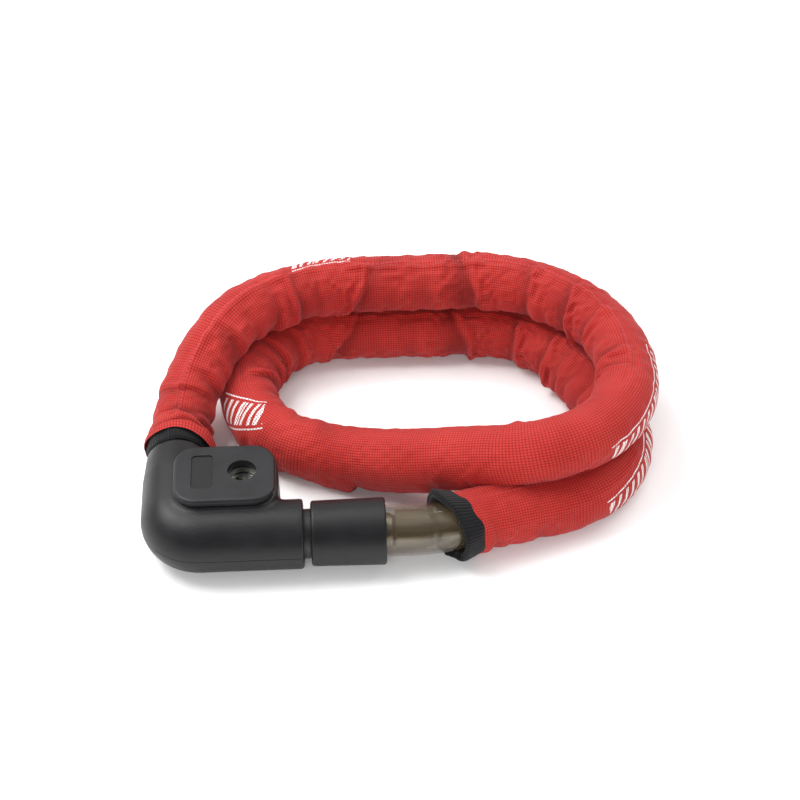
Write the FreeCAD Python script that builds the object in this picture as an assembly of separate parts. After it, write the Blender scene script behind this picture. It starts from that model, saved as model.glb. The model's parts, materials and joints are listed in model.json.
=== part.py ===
import FreeCAD, Part
import math
import os
from FreeCAD import Vector as V

# Armoured cable lock, coiled in two turns and plugged into its own lock head. Millimetres, +Z up.
# Origin: the key cylinder's axis, on the flat foot under the head. +X runs along the front arm
# towards the socket mouth, +Y runs back along the arm that anchors the cable.

# ---- lock head ----
ARM_R = 15.0            # outer radius of both arms of the L-shaped head
ARM_Z = 15.0            # height of the arm axes, also the parting line of the two covers
SOCKET_Y = -19.8        # axis of the front arm, which holds the socket
ANCHOR_X = -29.3        # axis of the side arm, which anchors the cable
ELBOW_R = 11.0          # centre-line radius of the elbow between the arms
MOUTH_X = 25.7          # outer end of the front arm
ANCHOR_END_Y = 28.2     # outer end of the side arm
ANCHOR_TIP_R = 13.9     # the side arm tapers to this radius
WALL_CLEAR = 0.3        # gap between the covers and the steel housing
HOUSING_R = 12.1        # arm radius of the steel housing
HOUSING_MOUTH_X = 21.2  # the housing's front end
HOUSING_END_Y = 26.0    # the housing's back end
BLOCK_Z = (3.0, 27.0)   # the housing's block around the key cylinder
TOWER = (-29.3, -18.6, 15.2, 16.9)     # x0, y0, x1, y1 of the tower that rises around the cylinder
TOWER_TOP = 31.4
TOWER_DRAFT = 0.8       # the tower is this much wider at the foot on its free sides
CAP = (-29.3, -18.6, 14.2, 16.2)       # x0, y0, x1, y1 of the raised cap
CAP_TOP = 35.0
CORNER_R = 10.0
SEAM = 0.1              # half of the gap at the parting line
SCREWS = [(8.0, 10.0), (-14.0, 9.5), (-14.0, -9.5)]     # the screws that join the two covers
SCREW_R = 1.25
PILLAR_R = 2.8          # the screw pillars inside the upper cover, and their bosses in the lower one

# ---- key cylinder ----
CORE_R = 5.2
CORE_Z = (13.1, 28.0)
SHELL_R = 8.2
SHELL_Z = (13.1, 27.5)
RING_Z = (27.6, 31.2)
KEYHOLE_R = 6.15
KEY_SLOT = (7.4, 2.2)   # length and width of the keyway
DISC_COUNT = 8
CRANK = 2.0             # offset of the crank pin, which throws the bolt
CRANK_PIN_R = 1.3
CRANK_REST = 45.0       # angle of the crank pin from +X with the bolt drawn back
BOLT_Z = (6.5, 10.5)
BOLT_TIP_Y = -12.05     # the bolt's tip when it is drawn back

# ---- plug ----
STUD_R = 7.5
STUD_TIP_X = -9.5
GROOVE_R = 4.8          # groove that the bolt drops into
GROOVE_HALF = 3.6
NECK_R = 10.6
NECK_X = (22.0, 34.6)
COLLAR_X = (28.7, 60.7)
COLLAR_R = (14.0, 14.5)
SWIVEL_R = 6.0          # the stud's rear journal, on which the cable end turns

# ---- cable ----
ROPE_R = 3.2
HOSE_R = (10.1, 11.15)
SLEEVE_R = (11.5, 12.25)
HEAD_HEM_R = 13.4
PLUG_HEM_R = 13.6
LOW_Z = 13.0            # cable axis where it lies on the ground
HIGH_Z = 39.2           # cable axis where it lies on the turn below
SECTIONS = 7
SHELLS_PER_SECTION = 7
HALF_GAP = 2.0          # each sleeve or hose section stops this short of its pivot
ROPE_GAP = 1.0
SHELL_R_OUT = 8.8
SHELL_BORE = 5.2
BALL_R = 8.0
SOCKET_CLEAR = 0.2
CABLE_START = 10.0      # first pivot, measured along the cable from the end of the side arm
CABLE_END_X = 60.0      # last shell joint, inside the collar
SLEEVE_END_X = 97.0     # the sleeve stops here and leaves the hose bare up to the collar
RING_PITCH = 9.0        # spacing of the circles that the cable's tubes are lofted through

# The cable's plan, seen from above: straight runs and clockwise arcs (length or radius, degrees).
# Two straights, marked None, are worked out so that the cable ends on the socket's axis.
PLAN = [
    (10.0, 0), (82.0, 90), (53.0, 0), (67.0, 90), (4.0, 0), (46.0, 110), (87.0, 0), (42.0, 160),
    (None, 0), (52.0, 66), (None, 0), (42.0, 97), (44.0, 0), (98.0, 17), (2.0, 0),
]
PLAN_END = (68.0, SOCKET_Y)

EX = V(1, 0, 0)
EY = V(0, 1, 0)
EZ = V(0, 0, 1)


# ---------------------------------------------------------------- basic solids
def rod(radius, start, end):
    """Cylinder between two points."""
    return Part.makeCylinder(radius, (end - start).Length, start, end - start)


def tube(r_out, r_in, start, end):
    return rod(r_out, start, end).cut(rod(r_in, start, end))


def block(x0, y0, z0, x1, y1, z1):
    return Part.makeBox(x1 - x0, y1 - y0, z1 - z0, V(x0, y0, z0))


def rounded_wire(rect, z, radius):
    """Rounded rectangle at height z."""
    x0, y0, x1, y1 = rect
    h = radius * (1 - math.sqrt(0.5))
    corners = [
        (V(x1 - radius, y0, z), V(x1 - h, y0 + h, z), V(x1, y0 + radius, z)),
        (V(x1, y1 - radius, z), V(x1 - h, y1 - h, z), V(x1 - radius, y1, z)),
        (V(x0 + radius, y1, z), V(x0 + h, y1 - h, z), V(x0, y1 - radius, z)),
        (V(x0, y0 + radius, z), V(x0 + h, y0 + h, z), V(x0 + radius, y0, z)),
    ]
    edges = []
    for i, (a, mid, b) in enumerate(corners):
        edges.append(Part.Arc(a, mid, b).toShape())
        edges.append(Part.makeLine(b, corners[(i + 1) % 4][0]))
    return Part.Wire(edges)


def rounded_prism(rect, z0, z1, radius):
    return Part.Face(rounded_wire(rect, z0, radius)).extrude(V(0, 0, z1 - z0))


def inset(rect, amount):
    x0, y0, x1, y1 = rect
    return (x0 + amount, y0 + amount, x1 - amount, y1 - amount)


def turned(points, origin, axis_dir, arcs=()):
    """Solid of revolution from (along, radius) points. arcs maps a point's index to the middle
    point of the arc that leads to the next point."""
    arcs = dict(arcs)
    pts = [V(a, 0, r) for a, r in points]
    edges = []
    for i, p in enumerate(pts):
        q = pts[(i + 1) % len(pts)]
        if i in arcs:
            mid = V(arcs[i][0], 0, arcs[i][1])
            edges.append(Part.Arc(p, mid, q).toShape())
        else:
            edges.append(Part.makeLine(p, q))
    solid = Part.Face(Part.Wire(edges)).revolve(V(0, 0, 0), EX, 360)
    solid.Placement = FreeCAD.Placement(origin, FreeCAD.Rotation(EX, axis_dir))
    return solid


def fillet_circles(solid, radius, axis, position):
    """Round the circular edges that lie in the plane axis = position."""
    picked = []
    for edge in solid.Edges:
        if edge.Degenerated or edge.Curve.TypeId != "Part::GeomCircle":
            continue
        box = edge.BoundBox
        low, high = ((box.XMin, box.XMax), (box.YMin, box.YMax))[axis]
        if abs(low - position) < 0.01 and abs(high - position) < 0.01:
            picked.append(edge)
    return solid.makeFillet(radius, picked)


def group(solids):
    return Part.makeCompound(solids)


# ---------------------------------------------------------------- cable path
def along(point, heading, length, turn_rate):
    """Point reached after a run of this length; turn_rate is 0 or 1/radius, clockwise."""
    x, y = point
    if turn_rate == 0:
        return (x + length * math.cos(heading), y + length * math.sin(heading))
    end = heading - turn_rate * length
    return (x + (math.sin(heading) - math.sin(end)) / turn_rate,
            y - (math.cos(heading) - math.cos(end)) / turn_rate)


def lay_out(plan):
    """Turn the plan into stretches: (start length, length, turn rate, start point, heading)."""
    stretches = []
    point = (ANCHOR_X, ANCHOR_END_Y)
    heading = math.pi / 2
    travelled = 0.0
    for size, degrees in plan:
        turn = math.radians(degrees)
        length = size if degrees == 0 else size * turn
        rate = 0 if degrees == 0 else 1 / size
        stretches.append((travelled, length, rate, point, heading))
        point = along(point, heading, length, rate)
        heading -= turn
        travelled += length
    return stretches, point, travelled


def close_plan():
    """Solve the two open straights. The first of them runs along +X."""
    trial = [(size if size is not None else 0.0, degrees) for size, degrees in PLAN]
    end = lay_out(trial)[1]
    dx = PLAN_END[0] - end[0]
    dy = PLAN_END[1] - end[1]
    open_at = [i for i, (size, _) in enumerate(PLAN) if size is None]
    slant = math.radians(PLAN[open_at[0] + 1][1])
    second = -dy / math.sin(slant)
    trial[open_at[0]] = (dx - second * math.cos(slant), 0)
    trial[open_at[1]] = (second, 0)
    return lay_out(trial)


STRETCHES, PLAN_TIP, PLAN_LENGTH = close_plan()
CABLE_LENGTH = PLAN_LENGTH + PLAN_END[0] - CABLE_END_X
SLEEVE_END = PLAN_LENGTH + PLAN_END[0] - SLEEVE_END_X
SHELL_PITCH = (CABLE_LENGTH - CABLE_START) / (SECTIONS * SHELLS_PER_SECTION)
CLIMB = (CABLE_START, 88.0)                          # rises from the head onto the upper turn
DESCENT = (352.0, 468.0)                             # comes down in front of the upper turn
PLUG_RISE = (PLAN_LENGTH - 70.0, PLAN_LENGTH - 20.0)  # lifts to the socket's axis


def ease(u, span):
    t = min(max((u - span[0]) / (span[1] - span[0]), 0.0), 1.0)
    return t * t * (3 - 2 * t)


def cable_height(u):
    z = ARM_Z + (HIGH_Z - ARM_Z) * ease(u, CLIMB)
    z += (LOW_Z - HIGH_Z) * ease(u, DESCENT)
    return z + (ARM_Z - LOW_Z) * ease(u, PLUG_RISE)


def cable_point(u):
    """Point on the cable's axis at plan length u from the end of the side arm."""
    if u <= 0:
        return V(ANCHOR_X, ANCHOR_END_Y + u, ARM_Z)
    if u >= PLAN_LENGTH:
        return V(PLAN_END[0] - (u - PLAN_LENGTH), SOCKET_Y, ARM_Z)
    stretch = [s for s in STRETCHES if s[0] <= u][-1]
    x, y = along(stretch[3], stretch[4], u - stretch[0], stretch[2])
    return V(x, y, cable_height(u))


def cable_tangent(u):
    step = 0.05
    t = cable_point(u + step) - cable_point(u - step)
    return t.normalize()


def cable_ring(u, radius):
    """Circle around the cable, its seam on top."""
    tangent = cable_tangent(u)
    side = tangent.cross(EZ).normalize()
    circle = Part.Circle(cable_point(u), tangent, radius)
    circle.XAxis = side.cross(tangent)
    return Part.Wire(circle.toShape())


def cable_rings(u0, u1, radius):
    spans = max(2, int(math.ceil((u1 - u0) / RING_PITCH)))
    return [cable_ring(u0 + (u1 - u0) * i / spans, radius) for i in range(spans + 1)]


def cable_rod(u0, u1, radius):
    return Part.makeLoft(cable_rings(u0, u1, radius), True)


def end_ring(wall, u):
    """The wall's own closed edge at one end of the tube."""
    centre = cable_point(u)
    near = [e for e in wall.Edges if e.isClosed() and (e.CenterOfMass - centre).Length < 0.5]
    return Part.Wire(near[0])


def cable_tube(u0, u1, r_in, r_out):
    """Open tube along the cable: two lofted walls and a flat ring at each end."""
    walls = [Part.makeLoft(cable_rings(u0, u1, r), False) for r in (r_out, r_in)]
    caps = [Part.makeFace([end_ring(w, u) for w in walls], "Part::FaceMakerBullseye") for u in (u0, u1)]
    shell = Part.makeShell([face for part in walls + caps for face in part.Faces])
    shell.sewShape()
    solid = Part.makeSolid(shell)
    if solid.Volume < 0:
        solid.reverse()
    return solid


def pivot(k):
    """Plan length at pivot k; pivot 0 is at the head and the last one is in the collar."""
    return CABLE_START + k * SHELLS_PER_SECTION * SHELL_PITCH


# ---------------------------------------------------------------- lock head
def arms(radius, mouth_x, end_y, tip_r=None):
    """L of two round arms and their elbow."""
    corner_x = ANCHOR_X + ELBOW_R
    corner_y = SOCKET_Y + ELBOW_R
    front = rod(radius, V(corner_x, SOCKET_Y, ARM_Z), V(mouth_x, SOCKET_Y, ARM_Z))
    taper_from = 12.0 if tip_r else end_y
    side = rod(radius, V(ANCHOR_X, corner_y, ARM_Z), V(ANCHOR_X, taper_from, ARM_Z))
    if tip_r:
        cone = Part.makeCone(radius, tip_r, end_y - taper_from, V(ANCHOR_X, taper_from, ARM_Z), EY)
        side = side.fuse(cone)
    disc = Part.Face(Part.Wire(Part.Circle(V(corner_x, SOCKET_Y, ARM_Z), EX, radius).toShape()))
    keep = block(corner_x - 1, SOCKET_Y - 2 * ARM_R, -ARM_R, corner_x + 1, corner_y, 3 * ARM_R)
    elbow = disc.common(keep).Faces[0].revolve(V(corner_x, corner_y, 0), EZ, -90)
    return front.fuse([side, elbow])


def tower_outer():
    x0, y0, x1, y1 = TOWER
    foot = (x0, y0, x1 + TOWER_DRAFT, y1 + TOWER_DRAFT)
    return Part.makeLoft([rounded_wire(foot, 0, CORNER_R), rounded_wire(TOWER, TOWER_TOP, CORNER_R)], True)


def housing_outer(grow):
    shape = arms(HOUSING_R + grow, HOUSING_MOUTH_X + grow, HOUSING_END_Y + grow)
    rect = inset(TOWER, 3.3 - grow)
    tower = rounded_prism(rect, BLOCK_Z[0] - grow, BLOCK_Z[1] + grow, CORNER_R - 3.3 + grow)
    return shape.fuse(tower)


def cover_body():
    """Both covers as one hollow moulding, before it is split at the parting line."""
    outer = arms(ARM_R, MOUTH_X, ANCHOR_END_Y, ANCHOR_TIP_R)
    outer = fillet_circles(outer, 1.2, 0, MOUTH_X)
    outer = fillet_circles(outer, 0.8, 1, ANCHOR_END_Y)
    outer = outer.fuse(tower_outer())
    plate_room = rounded_prism(inset(TOWER, 3.0), BLOCK_Z[1], 29.4, CORNER_R - 3.0)
    body = outer.cut([housing_outer(WALL_CLEAR), plate_room])
    mouth = rod(11.2, V(HOUSING_MOUTH_X, SOCKET_Y, ARM_Z), V(MOUTH_X + 1, SOCKET_Y, ARM_Z))
    back = rod(11.4, V(ANCHOR_X, HOUSING_END_Y, ARM_Z), V(ANCHOR_X, ANCHOR_END_Y + 1, ARM_Z))
    ring_hole = rod(8.1, V(0, 0, 29), V(0, 0, TOWER_TOP + 1))
    return body.cut([mouth, back, ring_hole])


def upper_cover():
    half = cover_body().common(block(-60, -50, ARM_Z + SEAM, 60, 50, 60))
    for x, y in SCREWS:
        pillar = rod(PILLAR_R, V(x, y, ARM_Z - 3), V(x, y, 29.6))
        half = half.fuse(pillar).cut(rod(SCREW_R, V(x, y, 0), V(x, y, 25)))
    return half


def lower_cover():
    half = cover_body().common(block(-60, -50, -5, 60, 50, ARM_Z - SEAM))
    for x, y in SCREWS:
        boss = rod(PILLAR_R, V(x, y, 1), V(x, y, ARM_Z - 3.2))
        half = half.fuse(boss).cut([rod(1.4, V(x, y, -1), V(x, y, 20)), rod(2.5, V(x, y, -1), V(x, y, 2))])
    return half


def cover_screws():
    solids = []
    for x, y in SCREWS:
        screw = rod(2.4, V(x, y, 0.3), V(x, y, 1.9)).fuse(rod(SCREW_R - 0.05, V(x, y, 1.9), V(x, y, 24)))
        slot = block(x - 1.6, y - 0.3, 0, x + 1.6, y + 0.3, 0.9)
        solids.append(screw.cut(slot))
    return group(solids)


def tower_cap():
    foot = rounded_prism(inset(CAP, 0.9), TOWER_TOP, TOWER_TOP + 0.9, CORNER_R - 0.9)
    top = rounded_prism(CAP, TOWER_TOP + 0.9, CAP_TOP, CORNER_R)
    upper_edges = [e for e in top.Edges if abs(e.BoundBox.ZMin - CAP_TOP) < 0.01]
    top = top.makeFillet(1.5, upper_edges)
    label = rounded_prism((-21.7, -10.6, -12.3, 10.0), CAP_TOP - 0.5, CAP_TOP + 1, 2.0)
    keyhole = rod(KEYHOLE_R, V(0, 0, 30), V(0, 0, 40))
    return foot.fuse(top).cut([label, keyhole])


def bolt_outline(tail_x, tail_y, riser_x, riser_y, z0, tail_z, riser_z):
    """Flat tail under the cylinder with a riser that reaches up to the stud's axis."""
    tail = block(-tail_x, tail_y[0], z0, tail_x, tail_y[1], tail_z)
    riser = block(-riser_x, riser_y[0], z0, riser_x, riser_y[1], riser_z)
    return tail.fuse(riser)


def lock_housing():
    body = housing_outer(0)
    socket = [
        rod(7.7, V(-11, SOCKET_Y, ARM_Z), V(8, SOCKET_Y, ARM_Z)),
        rod(9.2, V(6.9, SOCKET_Y, ARM_Z), V(30, SOCKET_Y, ARM_Z)),
        rod(11.1, V(19.7, SOCKET_Y, ARM_Z), V(30, SOCKET_Y, ARM_Z)),
    ]
    anchor = [
        rod(9.0, V(ANCHOR_X, 2.5, ARM_Z), V(ANCHOR_X, 40, ARM_Z)),
        rod(11.4, V(ANCHOR_X, 18, ARM_Z), V(ANCHOR_X, 40, ARM_Z)),
    ]
    cylinder = [rod(SHELL_R + 0.1, V(0, 0, 10.6), V(0, 0, 40))]
    bolt_room = bolt_outline(6.6, (-11.9, 6.7), 3.1, (-15.5, -8.3), 2.0, 10.6, 19.2)
    plate_room = block(-9.7, -12.0, 2.0, 9.7, 7.2, 6.3)
    pillars = [rod(PILLAR_R + 0.2, V(x, y, 0), V(x, y, 40)) for x, y in SCREWS]
    body = body.cut(socket + anchor + cylinder + [bolt_room, plate_room] + pillars)
    return body.cut(pin_rods(1.65) + [cylinder_pin_rod(1.25)] + rivet_rods(0.95))


def pin_rods(radius):
    """Two vertical cross pins that catch the cable's anchor ferrule on both flanks."""
    return [rod(radius, V(ANCHOR_X + dx, 10, 6.5), V(ANCHOR_X + dx, 10, 23.5)) for dx in (-6.6, 6.6)]


def cylinder_pin_rod(radius):
    return rod(radius, V(-7.4, -6, 20), V(-7.4, 13.4, 20))


def rivet_rods(radius):
    return [rod(radius, V(x, y, 3.3), V(x, y, 8.8)) for x in (-8.2, 8.2) for y in (-9.5, 4.5)]


def bolt_cover_plate():
    return block(-9.5, -11.8, 3.2, 9.5, 7.0, 6.2).cut(rivet_rods(0.95))


def socket_bush():
    y = SOCKET_Y
    sleeve = tube(9.1, 7.65, V(7, y, ARM_Z), V(HOUSING_MOUTH_X, y, ARM_Z))
    flange = tube(11.0, 7.65, V(19.8, y, ARM_Z), V(HOUSING_MOUTH_X, y, ARM_Z))
    return sleeve.fuse(flange)


def anti_drill_plate():
    plate = rounded_prism(inset(TOWER, 3.6), BLOCK_Z[1] + 0.35, 29.2, CORNER_R - 3.6)
    holes = [rod(PILLAR_R + 0.2, V(x, y, 20), V(x, y, 40)) for x, y in SCREWS]
    return plate.cut(holes + [rod(SHELL_R + 0.1, V(0, 0, 20), V(0, 0, 40))])


def keyhole_ring():
    return tube(7.9, 5.75, V(0, 0, RING_Z[0]), V(0, 0, RING_Z[1]))


def cylinder_shell():
    shell = tube(SHELL_R, CORE_R + 0.05, V(0, 0, SHELL_Z[0]), V(0, 0, SHELL_Z[1]))
    return shell.cut(cylinder_pin_rod(1.25))


def key_slot(z0, z1, length, width):
    """Keyway through the core's face, lying across the head's corner."""
    slot = block(-length / 2, -width / 2, z0, length / 2, width / 2, z1)
    return slot.rotate(V(0, 0, 0), EZ, -40)


def cylinder_core():
    core = tube(CORE_R, 4.2, V(0, 0, CORE_Z[0]), V(0, 0, 26.5))
    face = rod(CORE_R, V(0, 0, 26.5), V(0, 0, CORE_Z[1]))
    return core.fuse(face.cut(key_slot(26, 29, *KEY_SLOT)))


def detainer_discs():
    solids = []
    pitch = 1.5
    for i in range(DISC_COUNT):
        z = 14.35 + i * pitch
        disc = rod(4.15, V(0, 0, z), V(0, 0, z + pitch - 0.1))
        notch = rod(0.8, V(4.3, 0, z - 1), V(4.3, 0, z + 3)).rotate(V(0, 0, 0), EZ, 70 + 12 * (i * 5 % 8))
        solids.append(disc.cut([key_slot(z - 1, z + 3, 6.6, 2.4), notch]))
    return group(solids)


def core_crank():
    a = math.radians(CRANK_REST)
    cx = CRANK * math.cos(a)
    cy = CRANK * math.sin(a)
    disc = rod(6.5, V(0, 0, 10.8), V(0, 0, 13.0))
    spigot = rod(4.1, V(0, 0, 13.0), V(0, 0, 14.2))
    return disc.fuse([spigot, rod(CRANK_PIN_R, V(cx, cy, 6.9), V(cx, cy, 10.8))])


def locking_bolt():
    body = bolt_outline(6.5, (-8.9, 6.5), 3.0, (BOLT_TIP_Y, -8.5), BOLT_Z[0], BOLT_Z[1], 19.0)
    y = CRANK * math.sin(math.radians(CRANK_REST))
    half = CRANK_PIN_R + 0.1
    slot = block(0.0, y - half, 0, 3.5, y + half, 20)
    ends = [rod(half, V(0.0, y, 0), V(0.0, y, 20)), rod(half, V(3.5, y, 0), V(3.5, y, 20))]
    return body.cut([slot] + ends)


# ---------------------------------------------------------------- cable anchor, hose, hem at the head
def anchor_ferrule():
    joint = ANCHOR_END_Y + CABLE_START
    neck = 4.8
    points = [
        (3.0, 8.8), (joint - neck, 8.8), (joint - neck, math.sqrt(BALL_R ** 2 - neck ** 2)),
        (joint + 4.0, math.sqrt(BALL_R ** 2 - 16.0)), (joint + 4.0, SHELL_BORE), (12.0, SHELL_BORE),
        (12.0, 0.0), (3.0, 0.0),
    ]
    ferrule = turned(points, V(ANCHOR_X, 0, ARM_Z), EY, {2: (joint, BALL_R)})
    return ferrule.cut(pin_rods(1.65))


def head_hem():
    return cable_tube(0.8, 7.9, HOSE_R[1] + 0.2, HEAD_HEM_R)


# ---------------------------------------------------------------- plug
def socket_axis(x):
    return V(x, SOCKET_Y, ARM_Z)


def plug_stud():
    points = [
        (STUD_TIP_X, 0), (STUD_TIP_X, 4.5), (-6.5, STUD_R), (-GROOVE_HALF, STUD_R), (-GROOVE_HALF, GROOVE_R),
        (GROOVE_HALF, GROOVE_R), (GROOVE_HALF, STUD_R), (NECK_X[0], STUD_R), (NECK_X[0], NECK_R),
        (23.1, NECK_R), (23.1, 9.5), (24.9, 9.5), (24.9, NECK_R), (NECK_X[1], NECK_R),
        (NECK_X[1], SWIVEL_R), (44.6, SWIVEL_R), (44.6, 5.0), (45.6, 5.0), (45.6, SWIVEL_R),
        (47.0, SWIVEL_R), (47.0, 0),
    ]
    return turned(points, socket_axis(0), EX).cut(collar_pin_rod(1.45))


def collar_pin_rod(radius):
    return rod(radius, V(31.6, SOCKET_Y, 1.7), V(31.6, SOCKET_Y, 8.5))


def plug_gasket():
    return Part.makeTorus(10.3, 0.75, socket_axis(24.0), EX)


def plug_collar():
    x0, x1 = COLLAR_X
    outer = Part.makeCone(COLLAR_R[0], COLLAR_R[1], x1 - x0, socket_axis(x0), EX)
    outer = fillet_circles(fillet_circles(outer, 1.3, 0, x0), 1.3, 0, x1)
    bores = [rod(NECK_R + 0.15, socket_axis(x0 - 1), socket_axis(x1 + 1)),
             rod(HOSE_R[1] + 0.5, socket_axis(35.0), socket_axis(x1 + 1))]
    return outer.cut(bores + [collar_pin_rod(1.45)])


def swivel_clip():
    ring = tube(7.6, 5.05, socket_axis(44.7), socket_axis(45.5))
    return ring.cut(block(44, SOCKET_Y - 1.6, ARM_Z, 46, SOCKET_Y + 1.6, ARM_Z + 9))


def plug_ferrule():
    seat = BALL_R + SOCKET_CLEAR
    depth = math.sqrt(seat ** 2 - SHELL_BORE ** 2)
    lip = 0.5
    end = CABLE_END_X
    mid = math.radians(115)
    points = [
        (36.0, SWIVEL_R + 0.1), (36.0, 9.7), (end - lip, 9.7), (end - lip, math.sqrt(seat ** 2 - lip ** 2)),
        (end - depth, SHELL_BORE), (50.0, SHELL_BORE), (50.0, 0), (48.0, 0), (48.0, 8.0), (44.2, 8.0),
        (44.2, SWIVEL_R + 0.1),
    ]
    arc_mid = (end + seat * math.cos(mid), seat * math.sin(mid))
    return turned(points, socket_axis(0), EX, {3: arc_mid})


def plug_hem():
    return cable_tube(SLEEVE_END + 1.0, SLEEVE_END + 10.5, HOSE_R[1] + 0.4, PLUG_HEM_R)


# ---------------------------------------------------------------- cable sections
def armour_shell():
    """One steel shell: a cup at the start that rides on the ball of the shell before it, a ball at
    the end."""
    seat = BALL_R + SOCKET_CLEAR
    lip = 0.5
    neck = 4.8
    depth = math.sqrt(seat ** 2 - SHELL_BORE ** 2)
    mid = math.radians(65)
    pitch = SHELL_PITCH
    points = [
        (lip, math.sqrt(seat ** 2 - lip ** 2)), (lip, SHELL_R_OUT), (pitch - neck, SHELL_R_OUT),
        (pitch - neck, math.sqrt(BALL_R ** 2 - neck ** 2)), (pitch + 4.0, math.sqrt(BALL_R ** 2 - 16.0)),
        (pitch + 4.0, SHELL_BORE), (depth, SHELL_BORE),
    ]
    arcs = {3: (pitch, BALL_R), 6: (seat * math.cos(mid), seat * math.sin(mid))}
    return turned(points, V(0, 0, 0), EX, arcs)


def armour(k):
    """Shells of one section, each set straight between two neighbouring joints."""
    shell = armour_shell()
    solids = []
    for i in range(SHELLS_PER_SECTION):
        a = cable_point(pivot(k) + i * SHELL_PITCH)
        b = cable_point(pivot(k) + (i + 1) * SHELL_PITCH)
        one = shell.copy()
        middle = (a + b) * 0.5
        start = middle - (b - a).normalize() * (SHELL_PITCH / 2)
        one.Placement = FreeCAD.Placement(start, FreeCAD.Rotation(EX, b - a))
        solids.append(one)
    return group(solids)


def sleeve(k):
    end = SLEEVE_END if k == SECTIONS - 1 else pivot(k + 1) - HALF_GAP
    return cable_tube(pivot(k) + HALF_GAP, end, *SLEEVE_R)


def hose(k):
    end = CABLE_LENGTH + 9.0 if k == SECTIONS - 1 else pivot(k + 1) - HALF_GAP
    return cable_tube(pivot(k) + HALF_GAP, end, *HOSE_R)


def rope(k):
    end = CABLE_LENGTH + 8.5 if k == SECTIONS - 1 else pivot(k + 1) - ROPE_GAP
    return cable_rod(pivot(k) + ROPE_GAP, end, ROPE_R)


# ---------------------------------------------------------------- write every piece
def all_pieces():
    pieces = {
        "upper_cover": upper_cover(),
        "lower_cover": lower_cover(),
        "tower_cap": tower_cap(),
        "cover_screws": cover_screws(),
        "lock_housing": lock_housing(),
        "bolt_cover_plate": bolt_cover_plate(),
        "plate_rivets": group(rivet_rods(0.9)),
        "socket_bush": socket_bush(),
        "anti_drill_plate": anti_drill_plate(),
        "keyhole_ring": keyhole_ring(),
        "cylinder_shell": cylinder_shell(),
        "cylinder_pin": cylinder_pin_rod(1.2),
        "cylinder_core": cylinder_core(),
        "detainer_discs": detainer_discs(),
        "core_crank": core_crank(),
        "locking_bolt": locking_bolt(),
        "anchor_ferrule": anchor_ferrule(),
        "anchor_pins": group(pin_rods(1.6)),
        "anchor_hose": cable_tube(-10.0, CABLE_START - HALF_GAP, *HOSE_R),
        "anchor_rope": cable_rod(-15.9, CABLE_START - ROPE_GAP, ROPE_R),
        "head_hem": head_hem(),
        "plug_stud": plug_stud(),
        "plug_gasket": plug_gasket(),
        "plug_collar": plug_collar(),
        "collar_pin": collar_pin_rod(1.4),
        "swivel_clip": swivel_clip(),
        "plug_ferrule": plug_ferrule(),
        "plug_hem": plug_hem(),
    }
    for k in range(SECTIONS):
        pieces["sleeve_%d" % (k + 1)] = sleeve(k)
        pieces["hose_%d" % (k + 1)] = hose(k)
        pieces["armour_%d" % (k + 1)] = armour(k)
        pieces["rope_%d" % (k + 1)] = rope(k)
    return pieces


os.makedirs("parts", exist_ok=True)
for name, shape in all_pieces().items():
    shape.exportStep("parts/" + name + ".step")
    print(name, "solids", len(shape.Solids), "valid", shape.isValid(), "volume", round(shape.Volume, 1))
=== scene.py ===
import json
import math

import bmesh
import bpy
import numpy as np
from mathutils import Matrix, Vector


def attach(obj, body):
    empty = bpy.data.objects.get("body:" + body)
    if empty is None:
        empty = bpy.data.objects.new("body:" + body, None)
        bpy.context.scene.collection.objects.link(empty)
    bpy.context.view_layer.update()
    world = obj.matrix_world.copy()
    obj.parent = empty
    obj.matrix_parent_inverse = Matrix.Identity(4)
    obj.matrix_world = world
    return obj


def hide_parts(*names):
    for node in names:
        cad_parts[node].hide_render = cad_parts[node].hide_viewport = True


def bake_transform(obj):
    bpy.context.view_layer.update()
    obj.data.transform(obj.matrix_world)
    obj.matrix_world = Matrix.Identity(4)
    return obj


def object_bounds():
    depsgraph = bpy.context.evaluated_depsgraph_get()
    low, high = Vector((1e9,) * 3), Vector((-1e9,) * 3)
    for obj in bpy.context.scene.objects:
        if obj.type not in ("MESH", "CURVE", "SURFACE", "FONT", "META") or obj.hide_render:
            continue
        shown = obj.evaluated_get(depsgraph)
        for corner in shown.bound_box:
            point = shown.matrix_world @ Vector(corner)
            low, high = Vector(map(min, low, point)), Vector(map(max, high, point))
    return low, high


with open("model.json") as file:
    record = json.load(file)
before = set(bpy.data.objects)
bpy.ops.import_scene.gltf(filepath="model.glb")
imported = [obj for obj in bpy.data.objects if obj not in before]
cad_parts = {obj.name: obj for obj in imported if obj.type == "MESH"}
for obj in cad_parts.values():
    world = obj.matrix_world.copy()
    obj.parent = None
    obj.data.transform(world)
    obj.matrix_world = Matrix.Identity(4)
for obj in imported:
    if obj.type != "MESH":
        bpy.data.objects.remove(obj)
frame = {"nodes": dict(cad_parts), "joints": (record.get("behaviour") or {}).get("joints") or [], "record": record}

# Looks of the armoured cable lock: woven sleeve, elastic hems, smoked hose, moulded head.
# Lengths are in metres where Blender takes them, and in mm along the cable and where a comment says so.
MM = 0.001
cad_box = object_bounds()
nodes = frame["nodes"]
scene = bpy.context.scene
rng = np.random.default_rng(11)

# ---------------------------------------------------------------- cable path, as in the CAD, in mm
PLAN = [(10.0, 0), (82.0, 90), (53.0, 0), (67.0, 90), (4.0, 0), (46.0, 110), (87.0, 0), (42.0, 160),
        (None, 0), (52.0, 66), (None, 0), (42.0, 97), (44.0, 0), (98.0, 17), (2.0, 0)]
START = (-29.3, 28.2)
END = (68.0, -19.8)
HEAD_Z = 15.0
HIGH_Z = 39.2
LOW_Z = 13.0
HOSE_R = 11.15
SECTIONS = 7


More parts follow.
